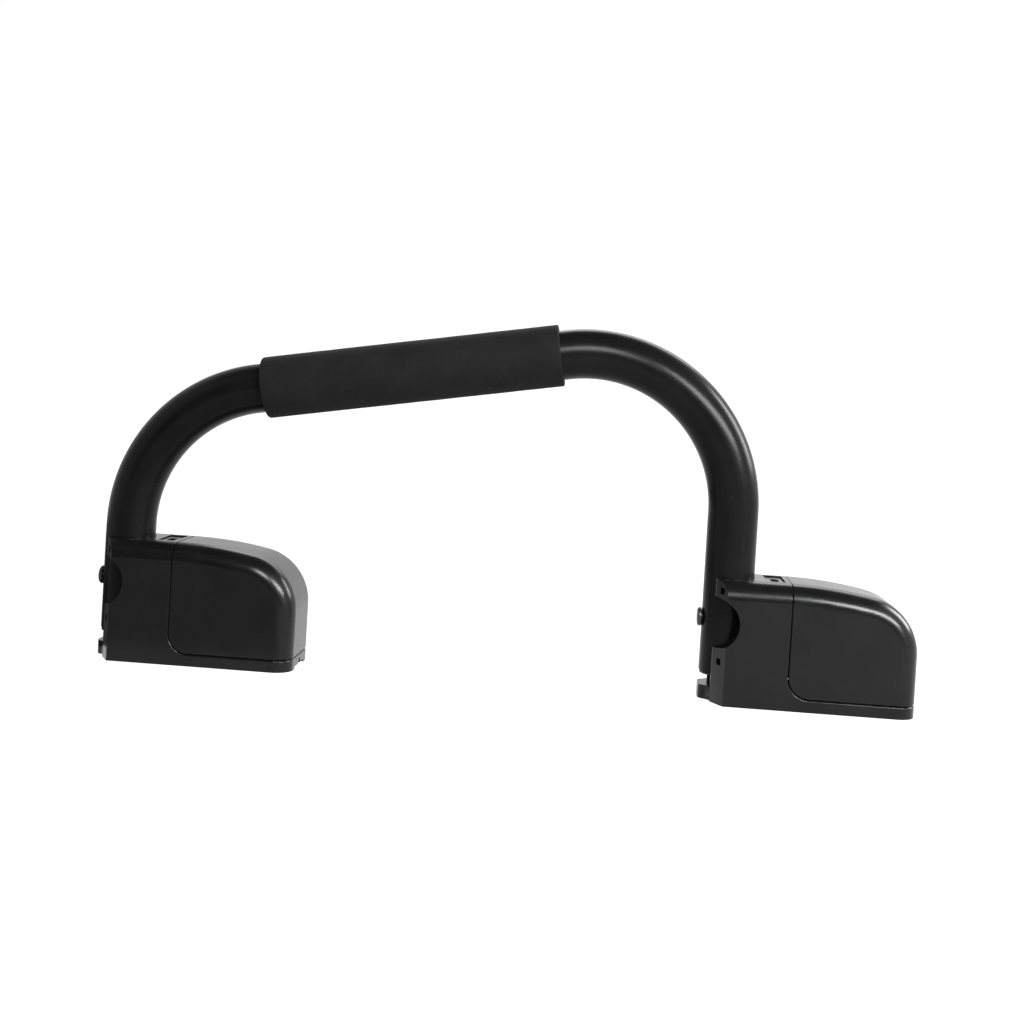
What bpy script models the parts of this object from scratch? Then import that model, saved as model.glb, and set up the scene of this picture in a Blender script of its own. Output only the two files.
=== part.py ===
"""Bed assist rail: a bent tube hoop with a foam grip, carried by two latching mounts.

Units are metres, +Z is up. The hoop stands in the XZ plane, and both mounts point along +X.
The origin is the centre of the whole rail's footprint, on the plane that the mounts rest on.
Inside a mount, x is measured from the axis of its leg.
"""

import math

import bmesh
import bpy
from mathutils import Matrix, Vector

# Hoop
LEG_SPACING = 0.390
TUBE_RADIUS = 0.0159
TUBE_WALL = 0.002
BEND_RADIUS = 0.095
GRIP_SLOPE = math.radians(9.52)
LEFT_BEND_HEIGHT = 0.0846
TUBE_END_HEIGHT = 0.0170
TUBE_SIDE_RESOLUTION = 14
BEND_STEPS = 16
GRIP_RADIUS = 0.020
GRIP_LENGTH = 0.193
GRIP_OFFSET = 0.0008

# Mount, outside
HALF_DEPTH = 0.029
TOP_HEIGHT = 0.0774
SEAM_X = 0.037
NOSE_REACH = 0.1163
RIM_HEIGHT = 0.0075
SEAM_CORNER_RADIUS = 0.0135
SEAM_GAP = 0.0005
EDGE_RADIUS = 0.012
CROWN_RADIUS = 0.260
CROWN_ANGLE = math.radians(11.3)
WALL = 0.003
FLOOR = 0.004

# Socket for the leg
FIT = 0.0004
LIP_OUTER = (-0.002, 0.029)
LIP_INNER = (-0.0090, 0.017)
LIP_END_X = -0.0092
TONGUE_REACH = 0.0162
TONGUE_HALF_WIDTH = 0.0105
TONGUE_HEIGHT = 0.0087
BOLT_HEIGHT = 0.0503
RELIEF_X = -0.010
RELIEF_RADIUS = 0.016
POCKET_HEIGHTS = (0.0265, 0.0705)
CAVITY_X = 0.020

# Leg bolt
BOLT_RADIUS = 0.003
BOLT_HEAD_RADIUS = 0.0059
BOLT_HEAD_HEIGHT = 0.0026
BOLT_END_X = 0.0263
NUT_THICKNESS = 0.005
NUT_FLATS = 0.010
SLEEVE_HALF_LENGTH = 0.0124

# Release and latch
WINDOW_X = (0.0224, 0.0342)
WINDOW_HALF_WIDTH = 0.0144
BUTTON_SINK = 0.0009
STEM_X = 0.031
PIVOT = (0.053, 0.034)
PIVOT_PIN_RADIUS = 0.0025
LEVER_HALF_WIDTH = 0.004
TOOTH_X = (0.081, 0.087)
TOOTH_REST_HEIGHT = 0.0078
SPRING_RADIUS = 0.004
SPRING_WIRE = 0.0006
SPRING_TURNS = 6

# Steel plate in the floor
PLATE_X = (0.044, 0.111)
PLATE_HALF_WIDTH = 0.0155
PLATE_THICKNESS = 0.003
KEYHOLE_X = 0.077
KEYHOLE_RADIUS = 0.0085
KEYHOLE_END_X = 0.098
KEYHOLE_SLOT_RADIUS = 0.0042
PLATE_SCREWS = ((0.064, -0.0115), (0.064, 0.0115), (0.1075, 0.0))
COVER_SCREWS = ((0.099, -0.0215), (0.099, 0.0215))

HEAD_REACH = TUBE_RADIUS + 0.0003 + BOLT_HEAD_HEIGHT
LEFT_LEG_X = -(LEG_SPACING + HEAD_REACH + NOSE_REACH) / 2 + HEAD_REACH
RIGHT_LEG_X = LEFT_LEG_X + LEG_SPACING
RIGHT_BEND_HEIGHT = LEFT_BEND_HEIGHT + (LEG_SPACING - 2 * BEND_RADIUS) * math.tan(GRIP_SLOPE)


# ---------------------------------------------------------------- tools


def clear_scene():
    for obj in list(bpy.data.objects):
        bpy.data.objects.remove(obj, do_unlink=True)


def make_material(name, colour, roughness, metallic=0.0):
    material = bpy.data.materials.new(name)
    material.use_nodes = True
    shader = material.node_tree.nodes["Principled BSDF"]
    shader.inputs["Base Color"].default_value = (*colour, 1.0)
    shader.inputs["Roughness"].default_value = roughness
    shader.inputs["Metallic"].default_value = metallic
    return material


def add_object(name, data):
    obj = bpy.data.objects.new(name, data)
    bpy.context.scene.collection.objects.link(obj)
    return obj


def object_from(name, bm):
    mesh = bpy.data.meshes.new(name)
    bm.to_mesh(mesh)
    bm.free()
    return add_object(name, mesh)


def box(low, high):
    """A box between two corners."""
    bm = bmesh.new()
    low, high = Vector(low), Vector(high)
    size = high - low
    place = Matrix.Translation((low + high) / 2) @ Matrix.Diagonal((*size, 1.0))
    bmesh.ops.create_cube(bm, size=1.0, matrix=place)
    return object_from("box", bm)


def cylinder(start, end, radius, segments=32, end_radius=None):
    """A cylinder, or a cone, between two points on its axis."""
    start, end = Vector(start), Vector(end)
    along = end - start
    place = Matrix.Translation((start + end) / 2) @ along.to_track_quat("Z", "Y").to_matrix().to_4x4()
    bm = bmesh.new()
    bmesh.ops.create_cone(
        bm,
        cap_ends=True,
        segments=segments,
        radius1=radius,
        radius2=radius if end_radius is None else end_radius,
        depth=along.length,
        matrix=place,
    )
    return object_from("cylinder", bm)


def baked(obj, name=None):
    """The object as a plain mesh, with its modifiers or its curve bevel applied."""
    bpy.context.view_layer.update()
    graph = bpy.context.evaluated_depsgraph_get()
    mesh = bpy.data.meshes.new_from_object(obj.evaluated_get(graph))
    bm = bmesh.new()
    bm.from_mesh(mesh)
    bmesh.ops.remove_doubles(bm, verts=bm.verts, dist=0.000001)
    bm.to_mesh(mesh)
    bm.free()
    made = add_object(name or obj.name, mesh)
    made.matrix_world = obj.matrix_world
    bpy.data.objects.remove(obj, do_unlink=True)
    return made


def prism(outline, low, high, axis="Y"):
    """A flat outline made solid between two planes: (x, z) points along Y, or (x, y) points along Z."""
    curve = bpy.data.curves.new("outline", "CURVE")
    curve.dimensions = "2D"
    curve.fill_mode = "BOTH"
    curve.extrude = (high - low) / 2
    spline = curve.splines.new("POLY")
    spline.points.add(len(outline) - 1)
    for point, (x, y) in zip(spline.points, outline):
        point.co = (x, y, 0.0, 1.0)
    spline.use_cyclic_u = True
    obj = add_object("prism", curve)
    middle = (low + high) / 2
    if axis == "Y":
        obj.matrix_world = Matrix.Translation((0, middle, 0)) @ Matrix.Rotation(math.pi / 2, 4, "X")
    else:
        obj.matrix_world = Matrix.Translation((0, 0, middle))
    made = baked(obj)
    made.data.transform(made.matrix_world)
    made.matrix_world = Matrix.Identity(4)
    bm = bmesh.new()
    bm.from_mesh(made.data)
    bmesh.ops.dissolve_limit(bm, angle_limit=math.radians(0.3), verts=bm.verts, edges=bm.edges)
    bmesh.ops.recalc_face_normals(bm, faces=bm.faces)
    bm.to_mesh(made.data)
    bm.free()
    return made


def arc(centre, radius, start, end, steps):
    """Points along a circle between two angles in degrees, both ends included."""
    angles = [math.radians(start + (end - start) * i / steps) for i in range(steps + 1)]
    return [(centre[0] + radius * math.cos(a), centre[1] + radius * math.sin(a)) for a in angles]


def combine(obj, others, operation):
    """Cuts, joins or intersects obj with each other solid in turn, and uses those solids up."""
    for other in others:
        modifier = obj.modifiers.new("combine", "BOOLEAN")
        modifier.operation = operation
        modifier.solver = "EXACT"
        modifier.object = other
    made = baked(obj)
    for other in others:
        bpy.data.objects.remove(other, do_unlink=True)
    return made


def cut(obj, *cutters):
    return combine(obj, cutters, "DIFFERENCE")


def join(obj, *others):
    return combine(obj, others, "UNION")


def round_edges(obj, chosen, radius, segments):
    """Rounds the edges whose middle point passes the test chosen."""
    weights = obj.data.attributes.new("bevel_weight_edge", "FLOAT", "EDGE")
    for edge in obj.data.edges:
        first, second = (obj.data.vertices[i].co for i in edge.vertices)
        weights.data[edge.index].value = 1.0 if chosen(first, second) else 0.0
    bevel = obj.modifiers.new("round", "BEVEL")
    bevel.limit_method = "WEIGHT"
    bevel.width = radius
    bevel.segments = segments
    bevel.use_clamp_overlap = False
    return baked(obj)


def publish(obj, name, material, parent=None, origin=(0.0, 0.0, 0.0)):
    """Names a finished piece, puts its origin where asked, and adds it to the rail's collection."""
    mesh = obj.data.copy()
    mesh.transform(Matrix.Translation(-Vector(origin)))
    mesh.materials.clear()
    mesh.materials.append(material)
    mesh.shade_smooth()
    mesh.set_sharp_from_angle(angle=math.radians(35))
    made = bpy.data.objects.new(name, mesh)
    made.location = origin
    made.parent = parent
    bpy.data.collections["bed_assist_rail"].objects.link(made)
    return made


# ---------------------------------------------------------------- hoop


def bend_points(centre_x, centre_z, radius, start, end):
    return [Vector((x, 0, z)) for x, z in arc((centre_x, centre_z), radius, start, end, BEND_STEPS)]


def hoop_route():
    """The tube's centreline: up the left leg, along the sloping grip, and down the right leg."""
    turn = 90 + math.degrees(GRIP_SLOPE)
    left = bend_points(LEFT_LEG_X + BEND_RADIUS, LEFT_BEND_HEIGHT, BEND_RADIUS, 180, turn)
    right = bend_points(RIGHT_LEG_X - BEND_RADIUS, RIGHT_BEND_HEIGHT, BEND_RADIUS, turn, 0)
    foot_left = Vector((LEFT_LEG_X, 0, TUBE_END_HEIGHT))
    foot_right = Vector((RIGHT_LEG_X, 0, TUBE_END_HEIGHT))
    return [foot_left, *left, *right, foot_right]


def swept_rod(route, radius, side_resolution):
    """A round rod along a route, as a closed mesh."""
    curve = bpy.data.curves.new("rod", "CURVE")
    curve.dimensions = "3D"
    curve.bevel_depth = radius
    curve.bevel_resolution = side_resolution
    curve.use_fill_caps = True
    spline = curve.splines.new("POLY")
    spline.points.add(len(route) - 1)
    for point, place in zip(spline.points, route):
        point.co = (*place, 1.0)
    return baked(add_object("rod", curve))


def hoop_tube():
    route = hoop_route()
    outer = swept_rod(route, TUBE_RADIUS, TUBE_SIDE_RESOLUTION)
    below = Vector((0, 0, 0.005))
    hollow_route = [route[0] - below, *route[1:-1], route[-1] - below]
    hollow = swept_rod(hollow_route, TUBE_RADIUS - TUBE_WALL, TUBE_SIDE_RESOLUTION)
    bolt_holes = [
        cylinder((x - 0.02, 0, BOLT_HEIGHT), (x + 0.02, 0, BOLT_HEIGHT), BOLT_RADIUS + FIT, 16)
        for x in (LEFT_LEG_X, RIGHT_LEG_X)
    ]
    return cut(outer, hollow, *bolt_holes)


def foam_grip():
    """A sleeve centred on the straight stretch between the two bends."""
    turn = math.pi / 2 + GRIP_SLOPE
    reach = Vector((math.cos(turn), 0, math.sin(turn))) * BEND_RADIUS
    start = Vector((LEFT_LEG_X + BEND_RADIUS, 0, LEFT_BEND_HEIGHT)) + reach
    end = Vector((RIGHT_LEG_X - BEND_RADIUS, 0, RIGHT_BEND_HEIGHT)) + reach
    along = (end - start).normalized()
    middle = (start + end) / 2 + along * GRIP_OFFSET
    half = along * GRIP_LENGTH / 2
    sleeve = cylinder(middle - half, middle + half, GRIP_RADIUS, 40)
    return cut(sleeve, cylinder(middle - half * 1.2, middle + half * 1.2, TUBE_RADIUS + FIT, 40))


# ---------------------------------------------------------------- mount shells


def nose_outline(inset):
    """The mount's side outline from the end wall's foot, up round the nose, and back to the seam."""
    junction_x = SEAM_X + CROWN_RADIUS * math.sin(CROWN_ANGLE)
    junction_z = TOP_HEIGHT - CROWN_RADIUS * (1 - math.cos(CROWN_ANGLE))
    radius = (NOSE_REACH - junction_x) / (1 - math.sin(CROWN_ANGLE))
    centre = (NOSE_REACH - radius, junction_z - radius * math.cos(CROWN_ANGLE))
    crown_end = 90 - math.degrees(CROWN_ANGLE)
    nose = arc(centre, radius - inset, 0, crown_end, 14)
    crown = arc((SEAM_X, TOP_HEIGHT - CROWN_RADIUS), CROWN_RADIUS - inset, crown_end, 90, 6)
    return nose + crown[1:]


def on_same_side(first, second):
    return abs(first.y - second.y) < 1e-6


def cover_shell():
    """The nose cover: crown, nose and two cheeks, open at the seam and underneath."""
    left, bottom = SEAM_X + SEAM_GAP, RIM_HEIGHT + SEAM_GAP
    corner = (SEAM_X + SEAM_CORNER_RADIUS, RIM_HEIGHT + SEAM_CORNER_RADIUS)
    top = [point for point in nose_outline(0.0) if point[0] > left + 0.001]
    outline = [
        *arc(corner, SEAM_CORNER_RADIUS - SEAM_GAP, 180, 270, 8),
        (NOSE_REACH, bottom),
        *top,
        (left, TOP_HEIGHT),
    ]

    def along_the_nose(first, second):
        middle = (first + second) / 2
        outer = middle.x > NOSE_REACH - 0.0001 or (middle.z > 0.036 and middle.x > left + 0.0002)
        return on_same_side(first, second) and outer

    outer = round_edges(prism(outline, -HALF_DEPTH, HALF_DEPTH), along_the_nose, EDGE_RADIUS, 5)
    inside = [(NOSE_REACH - WALL, -0.002), *nose_outline(WALL), (0.03, TOP_HEIGHT - WALL), (0.03, -0.002)]

    def along_the_inside(first, second):
        middle = (first + second) / 2
        walled = middle.x > NOSE_REACH - WALL - 0.0001 or middle.z > 0.036
        return on_same_side(first, second) and walled and middle.x > 0.0301

    half = HALF_DEPTH - WALL
    hollow = round_edges(prism(inside, -half, half), along_the_inside, EDGE_RADIUS - WALL, 4)
    shell = cut(outer, hollow)
    bosses, holes = [], []
    for x, y in COVER_SCREWS:
        outward = math.copysign(1.0, y)
        ends = sorted((y - outward * 0.0045, outward * (half + 0.001)))
        bosses.append(box((x - 0.0045, ends[0], bottom + 0.0003), (x + 0.0045, ends[1], 0.030)))
        holes.append(cylinder((x, y, 0.0), (x, y, 0.026), 0.0018, 16))
    return cut(join(shell, *bosses), *holes)


def mount_outline():
    """The housing's side outline: a tower behind the leg and a low tray under the nose cover."""
    corner = (SEAM_X + SEAM_CORNER_RADIUS, RIM_HEIGHT + SEAM_CORNER_RADIUS)
    return [
        (-TONGUE_REACH, 0.0),
        (NOSE_REACH, 0.0),
        (NOSE_REACH, RIM_HEIGHT),
        *arc(corner, SEAM_CORNER_RADIUS, 270, 180, 8),
        (SEAM_X, TOP_HEIGHT),
        (-TONGUE_REACH, TOP_HEIGHT),
    ]


def footprint():
    """The housing's outline from above: the tongue, the two lips and the rounded end."""
    end = NOSE_REACH - EDGE_RADIUS
    side = HALF_DEPTH - EDGE_RADIUS
    tongue = arc((-TONGUE_REACH + 0.006, -TONGUE_HALF_WIDTH + 0.006), 0.006, 180, 250, 4)
    lower = [
        *tongue,
        (LIP_END_X, -0.0135),
        (LIP_INNER[0], -LIP_INNER[1]),
        (LIP_OUTER[0], -LIP_OUTER[1]),
        *arc((end, -side), EDGE_RADIUS, 270, 360, 6),
    ]
    return lower + [(x, -y) for x, y in reversed(lower)]


def cavity_outline():
    """The hollow's outline from above, with the rounded end's wall kept even."""
    end = NOSE_REACH - EDGE_RADIUS
    side = HALF_DEPTH - EDGE_RADIUS
    lower = [(CAVITY_X, WALL - HALF_DEPTH), *arc((end, -side), EDGE_RADIUS - WALL, 270, 360, 5)]
    return lower + [(x, -y) for x, y in reversed(lower)]


def lip_pocket(height, side):
    """A small square pocket in the slanted end of a lip."""
    middle = Vector(((LIP_OUTER[0] + LIP_INNER[0]) / 2, side * (LIP_OUTER[1] + LIP_INNER[1]) / 2, height))
    slant = math.atan2(side * (LIP_INNER[1] - LIP_OUTER[1]), LIP_INNER[0] - LIP_OUTER[0])
    pocket = box((-0.0022, -0.003, -0.002), (0.0022, 0.003, 0.002))
    pocket.data.transform(Matrix.Translation(middle) @ Matrix.Rotation(slant, 4, "Z"))
    return pocket


def housing():
    def top_edge(first, second):
        return on_same_side(first, second) and min(first.z, second.z) > TOP_HEIGHT - 0.0001

    side_on = round_edges(prism(mount_outline(), -HALF_DEPTH, HALF_DEPTH), top_edge, EDGE_RADIUS, 5)
    shape = combine(side_on, [prism(footprint(), -0.005, 0.1, "Z")], "INTERSECT")
    half = HALF_DEPTH - WALL
    above_tongue = box((-0.05, -0.05, TONGUE_HEIGHT), (LIP_END_X, 0.05, 0.1))
    bore = cylinder((0, 0, TONGUE_HEIGHT), (0, 0, 0.1), TUBE_RADIUS + FIT, 48)
    relief = cylinder((RELIEF_X, -0.05, BOLT_HEIGHT), (RELIEF_X, 0.05, BOLT_HEIGHT), RELIEF_RADIUS, 40)
    cavity = prism(cavity_outline(), FLOOR, TOP_HEIGHT - FLOOR, "Z")
    shape = cut(shape, above_tongue, bore, relief, cavity)
    window = box(
        (WINDOW_X[0], -WINDOW_HALF_WIDTH, TOP_HEIGHT - 2 * FLOOR),
        (WINDOW_X[1], WINDOW_HALF_WIDTH, TOP_HEIGHT + 0.01),
    )
    bolt_hole = cylinder((0.010, 0, BOLT_HEIGHT), (0.025, 0, BOLT_HEIGHT), BOLT_RADIUS + FIT, 20)
    floor_opening = box((0.067, -0.010, -0.002), (0.104, 0.010, FLOOR + 0.002))
    end_slot = box((NOSE_REACH - 0.006, -0.0018, -0.002), (NOSE_REACH + 0.002, 0.0018, 0.0048))
    end_step = box((NOSE_REACH - 0.002, -0.0125, -0.002), (NOSE_REACH + 0.002, 0.0125, 0.0016))
    shape = cut(shape, window, bolt_hole, floor_opening, end_slot, end_step)
    shape = cut(shape, *[lip_pocket(z, side) for z in POCKET_HEIGHTS for side in (-1, 1)])
    holes = []
    for x, y in (*PLATE_SCREWS, *COVER_SCREWS):
        holes.append(cylinder((x, y, -0.002), (x, y, FLOOR + 0.002), 0.0021, 12))
        holes.append(cylinder((x, y, -0.002), (x, y, 0.0020), 0.0040, 16))
    return cut(shape, *holes)


# ---------------------------------------------------------------- leg fixings


def button_head_bolt():
    """A bolt along X: a domed head with a hexagon socket outside the tube, and a plain shank."""
    seat = -TUBE_RADIUS - 0.0003
    shank = cylinder((seat - 0.001, 0, BOLT_HEIGHT), (BOLT_END_X, 0, BOLT_HEIGHT), BOLT_RADIUS, 20)
    rim = cylinder((seat - 0.0012, 0, BOLT_HEIGHT), (seat, 0, BOLT_HEIGHT), BOLT_HEAD_RADIUS, 28)
    dome = cylinder(
        (seat - 0.0011, 0, BOLT_HEIGHT),
        (seat - BOLT_HEAD_HEIGHT, 0, BOLT_HEIGHT),
        BOLT_HEAD_RADIUS,
        28,
        BOLT_HEAD_RADIUS * 0.68,
    )
    socket = cylinder((seat - 0.0012, 0, BOLT_HEIGHT), (seat - 0.01, 0, BOLT_HEIGHT), 0.0023, 6)
    return cut(join(rim, dome, shank), socket)


def hex_nut():
    start = CAVITY_X + 0.0003
    across_corners = NUT_FLATS / math.cos(math.pi / 6) / 2
    nut = cylinder((start, 0, BOLT_HEIGHT), (start + NUT_THICKNESS, 0, BOLT_HEIGHT), across_corners, 6)
    hole = cylinder((0.01, 0, BOLT_HEIGHT), (0.03, 0, BOLT_HEIGHT), BOLT_RADIUS + 0.0003, 20)
    return cut(nut, hole)


def crush_sleeve():
    """A spacer inside the tube, so that the bolt doesn't flatten it."""
    half = SLEEVE_HALF_LENGTH
    sleeve = cylinder((-half, 0, BOLT_HEIGHT), (half, 0, BOLT_HEIGHT), 0.0052, 24)
    return cut(sleeve, cylinder((-0.02, 0, BOLT_HEIGHT), (0.02, 0, BOLT_HEIGHT), BOLT_RADIUS + 0.0003, 20))


def tube_plug():
    """A plug pushed into the leg's open end, with a thin flange under the cut edge."""
    inner = TUBE_RADIUS - TUBE_WALL - FIT
    flange_top = TUBE_END_HEIGHT - 0.0003
    flange = cylinder((0, 0, flange_top - 0.0013), (0, 0, flange_top), TUBE_RADIUS - 0.0004, 36)
    body = cylinder((0, 0, flange_top - 0.001), (0, 0, TUBE_END_HEIGHT + 0.012), inner, 36)
    return join(flange, body)


# ---------------------------------------------------------------- release and latch


def release_button():
    """The rectangular key in the top window, with its retaining flange and the stem that pushes the lever."""
    gap = 0.0005
    top = TOP_HEIGHT - BUTTON_SINK
    under_wall = TOP_HEIGHT - FLOOR - gap
    key = box(
        (WINDOW_X[0] + gap, -WINDOW_HALF_WIDTH + gap, under_wall - 0.001),
        (WINDOW_X[1] - gap, WINDOW_HALF_WIDTH - gap, top),
    )
    flange = box((WINDOW_X[0] - 0.001, -0.016, under_wall - 0.002), (WINDOW_X[1] + 0.001, 0.016, under_wall))
    stem = box(
        (STEM_X - 0.0015, -0.005, PIVOT[1] - 0.0004),
        (STEM_X + 0.0015, 0.005, under_wall - 0.001),
    )
    finger_hole = box((0.0258, -0.008, top - 0.002), (0.0308, 0.004, top + 0.002))
    return cut(join(key, flange, stem), finger_hole)


def latch_lever():
    """A rocker: the stem presses its left arm, and the tooth on its right arm lifts off the stud behind it."""
    px, pz = PIVOT
    outline = [
        (0.0260, 0.0291),
        (0.0420, 0.0285),
        (0.0480, 0.0275),
        (0.0580, 0.0275),
        (0.0760, 0.0225),
        (TOOTH_X[0], 0.0185),
        (TOOTH_X[0], TOOTH_REST_HEIGHT + 0.0012),
        (TOOTH_X[0] + 0.0018, TOOTH_REST_HEIGHT),
        (TOOTH_X[1], TOOTH_REST_HEIGHT),
        (TOOTH_X[1], 0.0215),
        (0.0820, 0.0290),
        (0.0700, 0.0345),
        (0.0610, 0.0385),
        *arc((px, pz), 0.0075, 50, 130, 6),
        (0.0460, 0.0380),
        (0.0360, 0.0330),
        (0.0260, 0.0330),
    ]
    lever = prism(outline, -LEVER_HALF_WIDTH, LEVER_HALF_WIDTH)
    return cut(lever, cylinder((px, -0.02, pz), (px, 0.02, pz), PIVOT_PIN_RADIUS + 0.0003, 20))


def pivot_pin():
    px, pz = PIVOT
    pin = cylinder((px, -0.0095, pz), (px, 0.0095, pz), PIVOT_PIN_RADIUS, 20)
    head = cylinder((px, -0.0102, pz), (px, -0.0085, pz), PIVOT_PIN_RADIUS + 0.0012, 20)
    return join(pin, head)


def mount_plate():
    """The steel plate on the floor: a keyhole for the bed frame's stud, and two ears for the lever's pin."""
    low = FLOOR + 0.0003
    high = low + PLATE_THICKNESS
    plate = box((PLATE_X[0], -PLATE_HALF_WIDTH, low), (PLATE_X[1], PLATE_HALF_WIDTH, high))
    px, pz = PIVOT
    ears = []
    for side in (-1, 1):
        y = sorted((side * 0.0058, side * 0.0078))
        ear = [(px - 0.007, low + 0.001), (px + 0.007, low + 0.001), *arc((px, pz), 0.006, 0, 180, 10)]
        ears.append(prism(ear, *y))
    hole = cylinder((px, -0.02, pz), (px, 0.02, pz), PIVOT_PIN_RADIUS + 0.0003, 20)
    entry = cylinder((KEYHOLE_X, 0, 0), (KEYHOLE_X, 0, 0.01), KEYHOLE_RADIUS, 28)
    slot = box((KEYHOLE_X, -KEYHOLE_SLOT_RADIUS, 0), (KEYHOLE_END_X, KEYHOLE_SLOT_RADIUS, 0.01))
    slot_end = cylinder((KEYHOLE_END_X, 0, 0), (KEYHOLE_END_X, 0, 0.01), KEYHOLE_SLOT_RADIUS, 20)
    screw_holes = [cylinder((x, y, 0), (x, y, 0.01), 0.0020, 12) for x, y in PLATE_SCREWS]
    return cut(join(plate, *ears), hole, join(entry, slot, slot_end), *screw_holes)


def return_spring():
    """A compression spring between the floor and the lever's left arm, as one open coil."""
    bottom, top = FLOOR + 0.0010, 0.0272
    steps = 10 * SPRING_TURNS
    route = []
    for i in range(steps + 1):
        share = i / steps
        angle = 2 * math.pi * SPRING_TURNS * share
        height = bottom + (top - bottom) * share
        route.append(
            Vector((STEM_X + SPRING_RADIUS * math.cos(angle), SPRING_RADIUS * math.sin(angle), height))
        )
    return swept_rod(route, SPRING_WIRE, 2)


def countersunk_screw(x, y, top, shank_radius):
    """A screw driven up from below, its head sunk in the floor."""
    head = cylinder((x, y, 0.0003), (x, y, 0.0016), 0.0036, 20)
    shank = cylinder((x, y, 0.0014), (x, y, top), shank_radius, 12)
    socket = cylinder((x, y, -0.001), (x, y, 0.0011), 0.0014, 6)
    return cut(join(head, shank), socket)


# ---------------------------------------------------------------- assembly


def build_mounts(materials):
    """Makes each mount piece once and places a copy of it at both legs."""
    plastic, steel = materials["housing_plastic"], materials["zinc_steel"]
    pivot = (PIVOT[0], 0.0, PIVOT[1])
    button_origin = (STEM_X, 0.0, TOP_HEIGHT - BUTTON_SINK)
    zero = (0.0, 0.0, 0.0)
    pieces = [
        ("housing", housing(), plastic, zero),
        ("nose_cover", cover_shell(), plastic, zero),
        ("leg_bolt", button_head_bolt(), materials["bolt_steel"], zero),
        ("leg_nut", hex_nut(), steel, zero),
        ("crush_sleeve", crush_sleeve(), steel, zero),
        ("tube_plug", tube_plug(), plastic, zero),
        ("release_button", release_button(), plastic, button_origin),
        ("latch_lever", latch_lever(), steel, pivot),
        ("pivot_pin", pivot_pin(), steel, zero),
        ("return_spring", return_spring(), materials["spring_steel"], zero),
        ("mount_plate", mount_plate(), steel, zero),
    ]
    for number, (x, y) in enumerate(PLATE_SCREWS, 1):
        pieces.append((f"plate_screw_{number}", countersunk_screw(x, y, 0.0082, 0.0016), steel, zero))
    for number, (x, y) in enumerate(COVER_SCREWS, 1):
        pieces.append((f"cover_screw_{number}", countersunk_screw(x, y, 0.022, 0.0014), steel, zero))
    for side, leg_x in (("left", LEFT_LEG_X), ("right", RIGHT_LEG_X)):
        centre = bpy.data.objects.new(f"{side}_mount_centre", None)
        centre.location = (leg_x, 0, 0)
        bpy.data.collections["bed_assist_rail"].objects.link(centre)
        for name, piece, material, origin in pieces:
            publish(piece, f"{side}_{name}", material, centre, origin)
    for _, piece, _, _ in pieces:
        bpy.data.objects.remove(piece, do_unlink=True)


def main():
    clear_scene()
    collection = bpy.data.collections.new("bed_assist_rail")
    bpy.context.scene.collection.children.link(collection)
    materials = {
        "powder_coat": make_material("powder_coat", (0.022, 0.022, 0.023), 0.48),
        "foam": make_material("foam", (0.028, 0.028, 0.029), 0.85),
        "housing_plastic": make_material("housing_plastic", (0.025, 0.025, 0.026), 0.36),
        "zinc_steel": make_material("zinc_steel", (0.55, 0.56, 0.58), 0.38, 1.0),
        "spring_steel": make_material("spring_steel", (0.35, 0.35, 0.36), 0.32, 1.0),
        "bolt_steel": make_material("bolt_steel", (0.09, 0.09, 0.095), 0.42, 1.0),
    }
    for name, piece, material in (
        ("hoop_tube", hoop_tube(), "powder_coat"),
        ("foam_grip", foam_grip(), "foam"),
    ):
        publish(piece, name, materials[material])
        bpy.data.objects.remove(piece, do_unlink=True)
    build_mounts(materials)


main()
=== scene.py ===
"""The bed assist rail's looks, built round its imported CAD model. Units are metres, +Z is up."""

import math

import bmesh
import bpy
from mathutils import Matrix, Vector, noise


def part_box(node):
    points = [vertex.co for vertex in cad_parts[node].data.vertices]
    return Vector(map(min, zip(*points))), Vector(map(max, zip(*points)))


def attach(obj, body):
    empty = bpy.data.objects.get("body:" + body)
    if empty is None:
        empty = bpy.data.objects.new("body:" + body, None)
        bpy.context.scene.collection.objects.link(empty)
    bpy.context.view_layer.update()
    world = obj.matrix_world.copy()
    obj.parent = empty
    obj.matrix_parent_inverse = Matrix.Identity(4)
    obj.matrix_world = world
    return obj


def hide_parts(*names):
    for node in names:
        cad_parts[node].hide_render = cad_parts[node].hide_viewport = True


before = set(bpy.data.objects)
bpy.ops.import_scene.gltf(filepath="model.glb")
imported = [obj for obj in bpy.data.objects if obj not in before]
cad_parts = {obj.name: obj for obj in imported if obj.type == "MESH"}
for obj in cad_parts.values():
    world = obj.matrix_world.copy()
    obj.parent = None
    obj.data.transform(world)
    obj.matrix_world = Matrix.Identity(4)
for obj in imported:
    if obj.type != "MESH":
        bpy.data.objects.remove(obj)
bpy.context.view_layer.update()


def middle(node):
    low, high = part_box(node)
    return (low + high) / 2


LEG_X = {side: middle(f"{side}_crush_sleeve").x for side in ("left", "right")}

# Hoop
TUBE_RADIUS = 0.0159
TUBE_WALL = 0.002
BEND_RADIUS = 0.095
GRIP_SLOPE = math.radians(9.52)
LEFT_BEND_HEIGHT = 0.0846
TUBE_END_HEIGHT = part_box("hoop_tube")[0].z
GRIP_RADIUS = 0.020
GRIP_LENGTH = 0.193
GRIP_OFFSET = 0.0008
BEND_SPACING = LEG_X["right"] - LEG_X["left"] - 2 * BEND_RADIUS
RIGHT_BEND_HEIGHT = LEFT_BEND_HEIGHT + BEND_SPACING * math.tan(GRIP_SLOPE)
TUBE_CHAMFER = 0.0004
TUBE_SIDES = 96
BEND_STEPS = 48
GRIP_EDGE = 0.0011
GRIP_BORE_EDGE = 0.0005
GRIP_SIDES = 120
GRIP_STEPS = 90
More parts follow.
